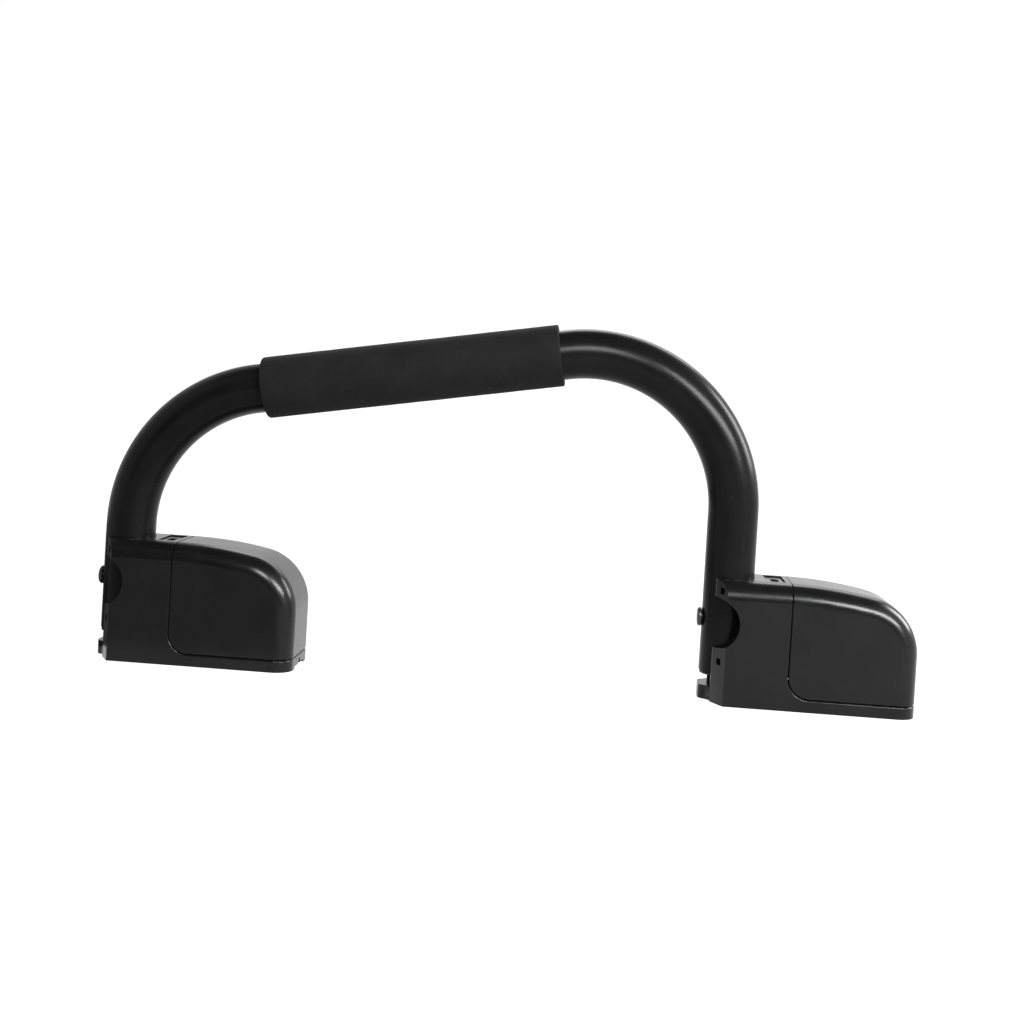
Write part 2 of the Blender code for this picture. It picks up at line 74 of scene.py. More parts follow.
# Two sizes of unevenness in the foam: (noise scale, height)
GRIP_UNEVENNESS = ((34.0, 0.00016), (140.0, 0.00007))
# The skin is drawn in by this much, so that its bumps stay near the nominal radius
GRIP_SINK = 0.00012

# Mount
HALF_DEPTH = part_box("left_housing")[1].y
TOP_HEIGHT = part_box("left_housing")[1].z
NOSE_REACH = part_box("left_housing")[1].x - LEG_X["left"]
SEAM_X = 0.037
RIM_HEIGHT = 0.0075
SEAM_CORNER_RADIUS = 0.0135
SEAM_GAP = 0.0005
EDGE_RADIUS = 0.012
CROWN_RADIUS = 0.260
CROWN_ANGLE = math.radians(11.3)
WALL = 0.003
FLOOR = 0.004
FIT = 0.0004
LIP_OUTER = (-0.002, 0.029)
LIP_INNER = (-0.0090, 0.017)
LIP_END_X = -0.0092
TONGUE_REACH = 0.0162
TONGUE_HALF_WIDTH = 0.0105
TONGUE_HEIGHT = 0.0087
BOLT_HEIGHT = middle("left_leg_bolt").z
BOLT_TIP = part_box("left_leg_bolt")[1].x - LEG_X["left"]
RELIEF_X = -0.010
RELIEF_RADIUS = 0.016
POCKET_HEIGHTS = (0.0265, 0.0705)
CAVITY_X = 0.020
WINDOW_X = (0.0224, 0.0342)
WINDOW_HALF_WIDTH = 0.0144
BUTTON_SINK = 0.0009
STEM_X = 0.031
STEM_END = 0.0336
PLATE_SCREWS = ((0.064, -0.0115), (0.064, 0.0115), (0.1075, 0.0))
COVER_SCREWS = ((0.099, -0.0215), (0.099, 0.0215))
SMALL_EDGE = 0.00045
COVER_EDGE = 0.0006
# The nose's long fillets start above this height
NOSE_FILLET_HEIGHT = 0.036
# The cutter for the cover's hollow starts here, short of the seam
HOLLOW_X = 0.030
RIM_ROUNDING = 0.0010
FILLET_STEPS = 14
CORNER_STEPS = 16
SEAM_STEPS = 20
TONGUE_CORNER = 0.006
LIP_FOOT = (LIP_END_X, -0.0135)
POCKET_HALF_SIZE = (0.0022, 0.003, 0.002)
SCREW_HOLE_RADIUS = 0.0021
SCREW_SINK_RADIUS = 0.0040
SCREW_SINK_DEPTH = 0.0020
COVER_SCREW_RADIUS = 0.0018
BOSS_HALF_WIDTH = 0.0045
BOSS_TOP = 0.030
# Boxes as (low, high) from the leg's axis
FLOOR_OPENING = ((0.067, -0.010, -0.002), (0.104, 0.010, FLOOR + 0.002))
END_SLOT = ((NOSE_REACH - 0.006, -0.0018, -0.002), (NOSE_REACH + 0.002, 0.0018, 0.0048))
END_STEP = ((NOSE_REACH - 0.002, -0.0125, -0.002), (NOSE_REACH + 0.002, 0.0125, 0.0016))

# Button
BUTTON_GAP = 0.0005
BUTTON_EDGE = 0.0005
FLANGE_HALF_WIDTH = 0.016
STEM_HALF_SIZE = (0.0015, 0.005)
FINGER_HOLE_X = (0.0258, 0.0308)
FINGER_HOLE_Y = (-0.008, 0.004)

# Bolt
BOLT_SEAT = -TUBE_RADIUS - 0.0003
BOLT_RADIUS = 0.003
BOLT_HOLE_RADIUS = 0.0034
BOLT_HEAD_RADIUS = 0.0059
BOLT_HEAD_HEIGHT = 0.0026
BOLT_SOCKET_RADIUS = 0.0023
BOLT_SOCKET_START = 0.0012
BOLT_DOME_DEPTH = 0.0014
BOLT_DOME_WIDTH = 0.0018
BOLT_HEAD_EDGE = 0.0003
BOLT_TIP_CHAMFER = 0.0004
BOLT_SIDES = 64


# ---------------------------------------------------------------- mesh tools


def add_object(name, data):
    obj = bpy.data.objects.new(name, data)
    bpy.context.scene.collection.objects.link(obj)
    return obj


def object_from(name, bm):
    mesh = bpy.data.meshes.new(name)
    bm.to_mesh(mesh)
    bm.free()
    return add_object(name, mesh)


def box(low, high):
    bm = bmesh.new()
    low, high = Vector(low), Vector(high)
    place = Matrix.Translation((low + high) / 2) @ Matrix.Diagonal((*(high - low), 1.0))
    bmesh.ops.create_cube(bm, size=1.0, matrix=place)
    return object_from("box", bm)


def cylinder(start, end, radius, segments=64):
    start, end = Vector(start), Vector(end)
    along = end - start
    turn = along.to_track_quat("Z", "Y").to_matrix().to_4x4()
    bm = bmesh.new()
    bmesh.ops.create_cone(
        bm,
        cap_ends=True,
        segments=segments,
        radius1=radius,
        radius2=radius,
        depth=along.length,
        matrix=Matrix.Translation((start + end) / 2) @ turn,
    )
    return object_from("cylinder", bm)


def baked(obj):
    """The object as a plain mesh, with its modifiers applied."""
    bpy.context.view_layer.update()
    graph = bpy.context.evaluated_depsgraph_get()
    mesh = bpy.data.meshes.new_from_object(obj.evaluated_get(graph))
    made = add_object(obj.name, mesh)
    bpy.data.objects.remove(obj, do_unlink=True)
    return made


def prism(outline, low, high, axis="Y"):
    """A flat outline made solid between two planes.

    The outline holds (x, z) points for a prism along Y, or (x, y) points for one along Z.
    """
    bm = bmesh.new()

    def place(x, y, level):
        return (x, level, y) if axis == "Y" else (x, y, level)

    rings = [[bm.verts.new(place(x, y, level)) for x, y in outline] for level in (low, high)]
    count = len(outline)
    for ring in rings:
        bm.faces.new(ring)
    for i in range(count):
        j = (i + 1) % count
        bm.faces.new((rings[0][i], rings[0][j], rings[1][j], rings[1][i]))
    bmesh.ops.recalc_face_normals(bm, faces=bm.faces)
    return object_from("prism", bm)


def arc(centre, radius, start, end, steps):
    """Points on a circle between two angles in degrees."""
    angles = [math.radians(start + (end - start) * i / steps) for i in range(steps + 1)]
    return [(centre[0] + radius * math.cos(a), centre[1] + radius * math.sin(a)) for a in angles]


def combine(obj, others, operation):
    """One Boolean after another, with the other shapes used up."""
    for other in others:
        modifier = obj.modifiers.new("combine", "BOOLEAN")
        modifier.operation = operation
        modifier.solver = "EXACT"
        modifier.object = other
    made = baked(obj)
    for other in others:
        bpy.data.objects.remove(other, do_unlink=True)
    return made


def cut(obj, *cutters):
    return combine(obj, cutters, "DIFFERENCE")


def join(obj, *others):
    return combine(obj, others, "UNION")


def round_edges(obj, chosen, radius, segments):
    """Rounds the edges whose two ends pass the test chosen."""
    weights = obj.data.attributes.new("bevel_weight_edge", "FLOAT", "EDGE")
    for edge in obj.data.edges:
        first, second = (obj.data.vertices[i].co for i in edge.vertices)
        weights.data[edge.index].value = 1.0 if chosen(first, second) else 0.0
    bevel = obj.modifiers.new("round", "BEVEL")
    bevel.limit_method = "WEIGHT"
    bevel.width = radius
    bevel.segments = segments
    bevel.use_clamp_overlap = False
    made = baked(obj)
    weights = made.data.attributes.get("bevel_weight_edge")
    if weights:
        made.data.attributes.remove(weights)
    return made


def soften(obj, width=SMALL_EDGE, angle=40, segments=2):
    """Breaks every sharp edge by a small radius."""
    bm = bmesh.new()
    bm.from_mesh(obj.data)
    bmesh.ops.remove_doubles(bm, verts=bm.verts, dist=0.00002)
    bmesh.ops.dissolve_limit(bm, angle_limit=math.radians(0.4), verts=bm.verts, edges=bm.edges)
    bm.to_mesh(obj.data)
    bm.free()
    bevel = obj.modifiers.new("soften", "BEVEL")
    bevel.limit_method = "ANGLE"
    bevel.angle_limit = math.radians(angle)
    bevel.width = width
    bevel.segments = segments
    bevel.use_clamp_overlap = True
    bevel.harden_normals = False
    return baked(obj)


def smooth(obj, angle=32):
    """Smooth shading, broken only at edges sharper than the angle in degrees."""
    obj.data.shade_smooth()
    obj.data.set_sharp_from_angle(angle=math.radians(angle))
    return obj


def flatten_normals(obj):
    """Smooth shading that keeps the large flat faces flat and the small roundings round."""
    smooth(obj, 38)
    weighted = obj.modifiers.new("weighted", "WEIGHTED_NORMAL")
    weighted.keep_sharp = True
    weighted.weight = 80
    return baked(obj)


def moved(obj, x):
    """Moves the mesh along X and leaves the origin."""
    obj.data.transform(Matrix.Translation((x, 0, 0)))
    return obj


# ---------------------------------------------------------------- materials


def set_range(node, start, end, low, high):
    """Sets a Map Range node so that start to end becomes low to high."""
    sockets = ("From Min", "From Max", "To Min", "To Max")
    for socket, number in zip(sockets, (start, end, low, high)):
        node.inputs[socket].default_value = number


class Nodes:
    """A short way to write a material's node tree."""

    def __init__(self, name):
        self.material = bpy.data.materials.new(name)
        self.material.use_nodes = True
        self.tree = self.material.node_tree
        self.shader = self.tree.nodes["Principled BSDF"]
        self.place = self.add("ShaderNodeTexCoord").outputs["Object"]

    def add(self, kind, **settings):
        node = self.tree.nodes.new(kind)
        for key, value in settings.items():
            setattr(node, key, value)
        return node

    def link(self, source, target):
        self.tree.links.new(source, target)

    def noise(self, scale, detail=2.0, roughness=0.5, stretch=None):
        node = self.add("ShaderNodeTexNoise")
        node.inputs["Scale"].default_value = scale
        node.inputs["Detail"].default_value = detail
        node.inputs["Roughness"].default_value = roughness
        place = self.place
        if stretch:
            mapping = self.add("ShaderNodeMapping")
            mapping.inputs["Scale"].default_value = stretch
            self.link(self.place, mapping.inputs["Vector"])
            place = mapping.outputs["Vector"]
        self.link(place, node.inputs["Vector"])
        return node.outputs["Fac"]

    def cells(self, scale, feature="F1"):
        node = self.add("ShaderNodeTexVoronoi", feature=feature)
        node.inputs["Scale"].default_value = scale
        self.link(self.place, node.inputs["Vector"])
        return node.outputs["Distance"]

    def spread(self, value, low, high, start=0.3, end=0.7):
        """Maps a texture's middle range onto low to high."""
        node = self.add("ShaderNodeMapRange")
        set_range(node, start, end, low, high)
        self.link(value, node.inputs["Value"])
        return node.outputs["Result"]

    def colours(self, value, stops):
        """A colour ramp through (position, colour) stops."""
        node = self.add("ShaderNodeValToRGB")
        ramp = node.color_ramp
        while len(ramp.elements) < len(stops):
            ramp.elements.new(0.5)
        for element, (position, colour) in zip(ramp.elements, stops):
            element.position = position
            element.color = (*colour, 1.0)
        self.link(value, node.inputs["Fac"])
        return node.outputs["Color"]

    def bump(self, height, distance, strength=1.0, before=None):
        node = self.add("ShaderNodeBump")
        node.inputs["Strength"].default_value = strength
        node.inputs["Distance"].default_value = distance
        self.link(height, node.inputs["Height"])
        if before:
            self.link(before, node.inputs["Normal"])
        return node.outputs["Normal"]

    def finish(self, colour, roughness, normal, metallic=0.0, specular=0.5, **constants):
        self.link(colour, self.shader.inputs["Base Color"])
        self.link(roughness, self.shader.inputs["Roughness"])
        self.link(normal, self.shader.inputs["Normal"])
        self.shader.inputs["Metallic"].default_value = metallic
        self.shader.inputs["Specular IOR Level"].default_value = specular
        for name, value in constants.items():
            self.shader.inputs[name.replace("_", " ")].default_value = value
        return self.material


def grey(value, blue=1.0):
    """A linear grey, with its blue scaled to tint it."""
    return (value, value, value * blue)


def moulded_plastic():
    """Glass-filled nylon with a fine spark-eroded grain and a satin sheen."""
    n = Nodes("moulded_nylon")
    patches = n.noise(38, 3.0, 0.55)
    grain = n.noise(2600, 2.0, 0.55)
    flow = n.noise(160, 3.0, 0.6, (0.35, 1.0, 1.4))
    stops = [(0.30, grey(0.0022, 1.03)), (0.52, grey(0.0030, 1.03)), (0.74, grey(0.0039, 1.02))]
    colour = n.colours(patches, stops)
    mixed = n.add("ShaderNodeMath", operation="MULTIPLY_ADD")
    n.link(n.spread(grain, -0.5, 0.5), mixed.inputs[0])
    mixed.inputs[1].default_value = 0.06
    n.link(n.spread(flow, 0.20, 0.26), mixed.inputs[2])
    ripple = n.bump(flow, 0.00005, 0.30)
    return n.finish(colour, mixed.outputs[0], n.bump(grain, 0.00002, 0.30, ripple), specular=0.17)


def powder_coat():
    """Satin black powder coat: a soft orange peel with a finer grain over it."""
    n = Nodes("black_powder_coat")
    peel = n.noise(620, 2.0, 0.5)
    fine = n.noise(2900, 1.5, 0.5)
    broad = n.noise(26, 3.0, 0.6)
    colour = n.colours(broad, [(0.30, grey(0.0020, 1.02)), (0.70, grey(0.0032, 1.02))])
    rough = n.spread(broad, 0.23, 0.28)
    return n.finish(
        colour, rough, n.bump(fine, 0.000015, 0.4, n.bump(peel, 0.00006, 0.5)), specular=0.08
    )


def cell_foam():
    """Closed-cell foam: small open pores in a dull skin, the pores darkened by painted shade in
    their hollows.
    """
    n = Nodes("cell_foam")
    pores = n.cells(1500)
    skin = n.noise(900, 3.0, 0.6)
    broad = n.noise(45, 3.0, 0.55)
    mixed = n.add("ShaderNodeMix", data_type="RGBA", blend_type="MULTIPLY")
    mixed.inputs["Factor"].default_value = 0.7
    # The pores multiply the colour down to 0.45 where they sink deepest: painted shade in the pore
    # hollows, not a colour of the foam.
    n.link(n.colours(broad, [(0.28, grey(0.0036)), (0.72, grey(0.0058))]), mixed.inputs[6])
    n.link(n.colours(pores, [(0.10, grey(0.45)), (0.45, grey(1.0))]), mixed.inputs[7])
    rough = n.spread(skin, 0.78, 0.92)
    height = n.bump(pores, 0.00012, 0.65, n.bump(skin, 0.00012, 0.5))
    return n.finish(
        mixed.outputs[2], rough, height, specular=0.08, Sheen_Weight=0.010, Sheen_Roughness=0.5
    )


def plated_steel(name, stops, rough, brush):
    """Plated or drawn steel: cloudy colour, fine draw lines and tiny pits."""
    n = Nodes(name)
    cloud = n.noise(130, 4.0, 0.6)
    lines = n.noise(2200, 2.0, 0.6, brush)
    pits = n.cells(1900)
    colour = n.colours(cloud, stops)
    roughness = n.spread(cloud, *rough)
    normal = n.bump(lines, 0.00002, 0.45, n.bump(pits, 0.00001, 0.3))
    return n.finish(colour, roughness, normal, metallic=1.0)


def black_oxide():
    """Blackened steel, worn to bare metal in small flecks."""
    n = Nodes("black_oxide_steel")
    cloud = n.noise(420, 4.0, 0.65)
    flecks = n.noise(2100, 3.0, 0.7)
    colour = n.colours(cloud, [(0.30, grey(0.030)), (0.62, grey(0.055)), (0.80, grey(0.16))])
    return n.finish(
        colour, n.spread(flecks, 0.30, 0.48), n.bump(flecks, 0.00002, 0.5), metallic=0.85
    )


PLASTIC = moulded_plastic()
POWDER = powder_coat()
FOAM = cell_foam()
ZINC = plated_steel(
    "zinc_plate",
    [(0.25, (0.50, 0.52, 0.55)), (0.5, (0.62, 0.63, 0.64)), (0.75, (0.70, 0.69, 0.64))],
    (0.26, 0.40),
    (1.0, 0.08, 1.0),
)
SPRING = plated_steel(
    "spring_wire",
    [(0.3, (0.20, 0.20, 0.205)), (0.7, (0.34, 0.335, 0.325))],
    (0.22, 0.34),
    (0.3, 0.3, 1.0),
)
OXIDE = black_oxide()


def dress(obj, name, material, slot, body, *nodes):
    """Names a finished piece, gives it its material, and puts it in the place of its CAD nodes."""
    obj.name = name
    obj.data.name = name
    obj.data.materials.clear()
    obj.data.materials.append(material)
    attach(obj, body)
    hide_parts(*nodes)
    return obj


# ---------------------------------------------------------------- hoop


def hoop_route(bend_steps):
    """(place, heading) along the tube's centreline; the heading is the angle of travel in XZ."""
    turn = 90 + math.degrees(GRIP_SLOPE)
    left_centre = (LEG_X["left"] + BEND_RADIUS, LEFT_BEND_HEIGHT)
    right_centre = (LEG_X["right"] - BEND_RADIUS, RIGHT_BEND_HEIGHT)
    stops = [((LEG_X["left"], TUBE_END_HEIGHT), 90.0), ((LEG_X["left"], 0.05), 90.0)]
    for centre, start, end in ((left_centre, 180.0, turn), (right_centre, turn, 0.0)):
        for i in range(bend_steps + 1):
            angle = start + (end - start) * i / bend_steps
            stops.append((arc(centre, BEND_RADIUS, angle, angle, 1)[0], angle - 90))
    stops += [((LEG_X["right"], 0.05), -90.0), ((LEG_X["right"], TUBE_END_HEIGHT), -90.0)]
    return stops


def loft(rings, name, closed=False):
    """Skins a row of equal rings of points; closed joins the last ring to the first."""
    bm = bmesh.new()
    made = [[bm.verts.new(point) for point in ring] for ring in rings]
    count = len(rings[0])
    pairs = list(zip(made, made[1:])) + ([(made[-1], made[0])] if closed else [])
    for first, second in pairs:
        for i in range(count):
            j = (i + 1) % count
            bm.faces.new((first[i], first[j], second[j], second[i]))
    bmesh.ops.recalc_face_normals(bm, faces=bm.faces)
    return object_from(name, bm)


def ring(place, heading, radius, sides):
    """A circle of points round a place on the hoop, square to its heading."""
    angle = math.radians(heading)
    across = Vector((-math.sin(angle), 0, math.cos(angle)))
    centre = Vector((place[0], 0, place[1]))
    made = []
    for i in range(sides):
        turn = 2 * math.pi * i / sides
        sideways = Vector((0, radius * math.sin(turn), 0))
        made.append(centre + across * (radius * math.cos(turn)) + sideways)
    return made


def tube():
    """The tube with its hollow ends, their edges broken by the saw cut's deburring."""
    stops = hoop_route(BEND_STEPS)
    inner = TUBE_RADIUS - TUBE_WALL
    chamfer = TUBE_CHAMFER
    first, last = stops[0], stops[-1]
    up = ((first[0][0], first[0][1] + chamfer), first[1])
    down = ((last[0][0], last[0][1] + chamfer), last[1])
    outside = [(first, TUBE_RADIUS - chamfer), (up, TUBE_RADIUS)]
    outside += [(stop, TUBE_RADIUS) for stop in stops[1:-1]]
    outside += [(down, TUBE_RADIUS), (last, TUBE_RADIUS - chamfer)]
    inside = [(last, inner + chamfer), (down, inner)]
    inside += [(stop, inner) for stop in reversed(stops[1:-1])]
    inside += [(up, inner), (first, inner + chamfer)]
    around = outside + inside
    rings = [ring(place, heading, radius, TUBE_SIDES) for (place, heading), radius in around]
    return smooth(loft(rings, "tube", closed=True))


def grip():
    """The foam sleeve: square-cut ends with a soft edge, and extruded foam's faint unevenness."""
    turn = math.pi / 2 + GRIP_SLOPE
    reach = Vector((math.cos(turn), 0, math.sin(turn))) * BEND_RADIUS
    start = Vector((LEG_X["left"] + BEND_RADIUS, 0, LEFT_BEND_HEIGHT)) + reach
    end = Vector((LEG_X["right"] - BEND_RADIUS, 0, RIGHT_BEND_HEIGHT)) + reach
    along = (end - start).normalized()
    centre = (start + end) / 2 + along * GRIP_OFFSET
    half = GRIP_LENGTH / 2
    edge = GRIP_EDGE
    bore = TUBE_RADIUS + FIT
    straight = 2 * half - 2 * edge
    steps = range(1, GRIP_STEPS)
    profile = [(-half + 0.0004, bore), (-half, bore + GRIP_BORE_EDGE)]
    profile += arc((-half + edge, GRIP_RADIUS - edge), edge, 180, 90, 6)
    profile += [(-half + edge + straight * i / GRIP_STEPS, GRIP_RADIUS) for i in steps]
    profile += arc((half - edge, GRIP_RADIUS - edge), edge, 90, 0, 6)
    profile += [(half, bore + GRIP_BORE_EDGE), (half - 0.0004, bore)]
    profile += [(half - (2 * half) * i / 12, bore) for i in range(1, 12)]
    heading = math.degrees(GRIP_SLOPE)
    rings = []
    for distance, radius in profile:
        place = centre + along * distance
        points = ring((place.x, place.z), heading, radius, GRIP_SIDES)
        if radius > bore + 2 * GRIP_BORE_EDGE:
            for k, point in enumerate(points):
                outward = (point - place).normalized()
                uneven = sum(noise.noise(point * scale) * size for scale, size in GRIP_UNEVENNESS)
                points[k] = point + outward * (uneven - GRIP_SINK)
        rings.append(points)
    return smooth(loft(rings, "grip", closed=True), 40)


# ---------------------------------------------------------------- mount shells


def nose_outline(inset):
    """The nose's upper outline from its end to the seam, set in by a wall."""
    junction_x = SEAM_X + CROWN_RADIUS * math.sin(CROWN_ANGLE)
    junction_z = TOP_HEIGHT - CROWN_RADIUS * (1 - math.cos(CROWN_ANGLE))
    radius = (NOSE_REACH - junction_x) / (1 - math.sin(CROWN_ANGLE))
    centre = (NOSE_REACH - radius, junction_z - radius * math.cos(CROWN_ANGLE))
    crown_end = 90 - math.degrees(CROWN_ANGLE)
    nose = arc(centre, radius - inset, 0, crown_end, 44)
    crown = arc((SEAM_X, TOP_HEIGHT - CROWN_RADIUS), CROWN_RADIUS - inset, crown_end, 90, 14)
    return nose + crown[1:]


def on_same_side(first, second):
    return abs(first.y - second.y) < 1e-6


def nose_cover():
    """The hollow nose shell, with the two bosses that its screws bite into."""
    left, bottom = SEAM_X + SEAM_GAP, RIM_HEIGHT + SEAM_GAP
    corner = (SEAM_X + SEAM_CORNER_RADIUS, RIM_HEIGHT + SEAM_CORNER_RADIUS)
    top = [point for point in nose_outline(0.0) if point[0] > left + 0.001]
    outline = [
        *arc(corner, SEAM_CORNER_RADIUS - SEAM_GAP, 180, 270, SEAM_STEPS),
        (NOSE_REACH, bottom),
        *top,
        (left, TOP_HEIGHT),
    ]

    def along_the_nose(first, second):
        centre = (first + second) / 2
        outer = centre.x > NOSE_REACH - 0.0001 or (
            centre.z > NOSE_FILLET_HEIGHT and centre.x > left + 0.0002
        )
        return on_same_side(first, second) and outer

    outer = prism(outline, -HALF_DEPTH, HALF_DEPTH)
    outer = round_edges(outer, along_the_nose, EDGE_RADIUS, FILLET_STEPS)
    outer = soften(outer, COVER_EDGE, 50, 3)
    inside = [
        (NOSE_REACH - WALL, -0.002),
        *nose_outline(WALL),
        (HOLLOW_X, TOP_HEIGHT - WALL),
        (HOLLOW_X, -0.002),
    ]

    def along_the_inside(first, second):
        centre = (first + second) / 2
        walled = centre.x > NOSE_REACH - WALL - 0.0001 or centre.z > NOSE_FILLET_HEIGHT
        return on_same_side(first, second) and walled and centre.x > HOLLOW_X + 0.0001

    half = HALF_DEPTH - WALL
    hollow = prism(inside, -half, half)
    hollow = round_edges(hollow, along_the_inside, EDGE_RADIUS - WALL, 6)
    shell = cut(outer, hollow)
    bosses, holes = [], []
    for x, y in COVER_SCREWS:
        outward = math.copysign(1.0, y)
        ends = sorted((y - outward * BOSS_HALF_WIDTH, outward * (half + 0.001)))
        low = (x - BOSS_HALF_WIDTH, ends[0], bottom + 0.0003)
        bosses.append(box(low, (x + BOSS_HALF_WIDTH, ends[1], BOSS_TOP)))
        holes.append(cylinder((x, y, 0.0), (x, y, BOSS_TOP - 0.004), COVER_SCREW_RADIUS, 24))
    return flatten_normals(cut(join(shell, *bosses), *holes))


def mount_outline():
    """The housing's outline from the front, below and behind the seam."""
    corner = (SEAM_X + SEAM_CORNER_RADIUS, RIM_HEIGHT + SEAM_CORNER_RADIUS)
    return [
        (-TONGUE_REACH, 0.0),
        (NOSE_REACH, 0.0),
        (NOSE_REACH, RIM_HEIGHT),
        *arc(corner, SEAM_CORNER_RADIUS, 270, 180, SEAM_STEPS),
        (SEAM_X, TOP_HEIGHT),
        (-TONGUE_REACH, TOP_HEIGHT),
    ]


def footprint():
    """The housing's outline from above: the tongue, the two lips and the rounded end."""
    end = NOSE_REACH - EDGE_RADIUS
    side = HALF_DEPTH - EDGE_RADIUS
    corner = (-TONGUE_REACH + TONGUE_CORNER, -TONGUE_HALF_WIDTH + TONGUE_CORNER)
    lower = [
        *arc(corner, TONGUE_CORNER, 180, 250, 10),
        LIP_FOOT,
        (LIP_INNER[0], -LIP_INNER[1]),
        (LIP_OUTER[0], -LIP_OUTER[1]),
        *arc((end, -side), EDGE_RADIUS, 270, 360, CORNER_STEPS),
    ]
    return lower + [(x, -y) for x, y in reversed(lower)]


def cavity_outline():
    """The hollow's outline from above, with the rounded end's wall kept even."""
    end = NOSE_REACH - EDGE_RADIUS
    side = HALF_DEPTH - EDGE_RADIUS
    corner = arc((end, -side), EDGE_RADIUS - WALL, 270, 360, 12)
    lower = [(CAVITY_X, WALL - HALF_DEPTH), *corner]
    return lower + [(x, -y) for x, y in reversed(lower)]


def on_rim(point):
    """Whether a point at the rim's height lies on the mount's outer face."""
    end = NOSE_REACH - EDGE_RADIUS
    side = HALF_DEPTH - EDGE_RADIUS
    if point.x > end and abs(point.y) > side:
        return abs(math.hypot(point.x - end, abs(point.y) - side) - EDGE_RADIUS) < 0.0001
    return point.x > NOSE_REACH - 0.00002 or abs(point.y) > HALF_DEPTH - 0.00002


def lip_pocket(height, side):
    """A small square pocket in the slanted end of a lip."""
    x = (LIP_OUTER[0] + LIP_INNER[0]) / 2
    centre = Vector((x, side * (LIP_OUTER[1] + LIP_INNER[1]) / 2, height))
    slant = math.atan2(side * (LIP_INNER[1] - LIP_OUTER[1]), LIP_INNER[0] - LIP_OUTER[0])
    pocket = box([-size for size in POCKET_HALF_SIZE], POCKET_HALF_SIZE)
    pocket.data.transform(Matrix.Translation(centre) @ Matrix.Rotation(slant, 4, "Z"))
    return pocket


def housing():
    """The housing: a solid block rounded outside, then hollowed, bored and pierced."""

    def top_edge(first, second):
        return on_same_side(first, second) and min(first.z, second.z) > TOP_HEIGHT - 0.0001

    def seam_edge(first, second):
        """The edges beside the seam on the front and back, and round the rim's corners and end."""
        if abs(first.z - RIM_HEIGHT) < 0.00002 and abs(second.z - RIM_HEIGHT) < 0.00002:
            return all(on_rim(point) for point in (first, second))
        low, high = sorted((first.z, second.z))
        beside = low > RIM_HEIGHT - 0.0001 and high < TOP_HEIGHT - EDGE_RADIUS + 0.0001
        outer = on_same_side(first, second) and abs(first.y) > HALF_DEPTH - 0.00002
        return outer and beside and min(first.x, second.x) > SEAM_X - 0.0001

    side_on = prism(mount_outline(), -HALF_DEPTH, HALF_DEPTH)
    side_on = round_edges(side_on, top_edge, EDGE_RADIUS, FILLET_STEPS)
    shape = combine(side_on, [prism(footprint(), -0.005, 0.1, "Z")], "INTERSECT")
    shape = round_edges(shape, seam_edge, RIM_ROUNDING, 4)
    above_tongue = box((-0.05, -0.05, TONGUE_HEIGHT), (LIP_END_X, 0.05, 0.1))
    bore = cylinder((0, 0, TONGUE_HEIGHT), (0, 0, 0.1), TUBE_RADIUS + FIT, 96)
    across = [(RELIEF_X, y, BOLT_HEIGHT) for y in (-0.05, 0.05)]
    relief = cylinder(*across, RELIEF_RADIUS, 80)
    shape = soften(cut(shape, above_tongue, bore, relief))
    cavity = prism(cavity_outline(), FLOOR, TOP_HEIGHT - FLOOR, "Z")
    window = box(
        (WINDOW_X[0], -WINDOW_HALF_WIDTH, TOP_HEIGHT - 2 * FLOOR),
        (WINDOW_X[1], WINDOW_HALF_WIDTH, TOP_HEIGHT + 0.01),
    )
    bolt_hole = cylinder((0.010, 0, BOLT_HEIGHT), (0.025, 0, BOLT_HEIGHT), BOLT_HOLE_RADIUS, 32)
    openings = [box(low, high) for low, high in (FLOOR_OPENING, END_SLOT, END_STEP)]
    shape = cut(shape, cavity, window, bolt_hole, *openings)
    shape = cut(shape, *[lip_pocket(z, side) for z in POCKET_HEIGHTS for side in (-1, 1)])
    holes = []
    for x, y in (*PLATE_SCREWS, *COVER_SCREWS):
        low = (x, y, -0.002)
        holes.append(cylinder(low, (x, y, FLOOR + 0.002), SCREW_HOLE_RADIUS, 24))
        holes.append(cylinder(low, (x, y, SCREW_SINK_DEPTH), SCREW_SINK_RADIUS, 32))
    return flatten_normals(cut(shape, *holes))


def release_button():
    """The button's key with its finger hole, the flange that keeps it in, and its stem."""
    gap = BUTTON_GAP
    top = TOP_HEIGHT - BUTTON_SINK
    under_wall = TOP_HEIGHT - FLOOR - gap
    key = box(
        (WINDOW_X[0] + gap, -WINDOW_HALF_WIDTH + gap, under_wall - 0.001),
        (WINDOW_X[1] - gap, WINDOW_HALF_WIDTH - gap, top),
    )
    key = soften(key, BUTTON_EDGE, 40, 3)
    flange = box(
        (WINDOW_X[0] - 0.001, -FLANGE_HALF_WIDTH, under_wall - 0.002),
        (WINDOW_X[1] + 0.001, FLANGE_HALF_WIDTH, under_wall),
    )
    stem = box(
        (STEM_X - STEM_HALF_SIZE[0], -STEM_HALF_SIZE[1], STEM_END),
        (STEM_X + STEM_HALF_SIZE[0], STEM_HALF_SIZE[1], under_wall - 0.001),
    )
    finger_hole = box(
        (FINGER_HOLE_X[0], FINGER_HOLE_Y[0], top - 0.002),
        (FINGER_HOLE_X[1], FINGER_HOLE_Y[1], top + 0.002),
    )
    return flatten_normals(cut(join(key, flange, stem), finger_hole))


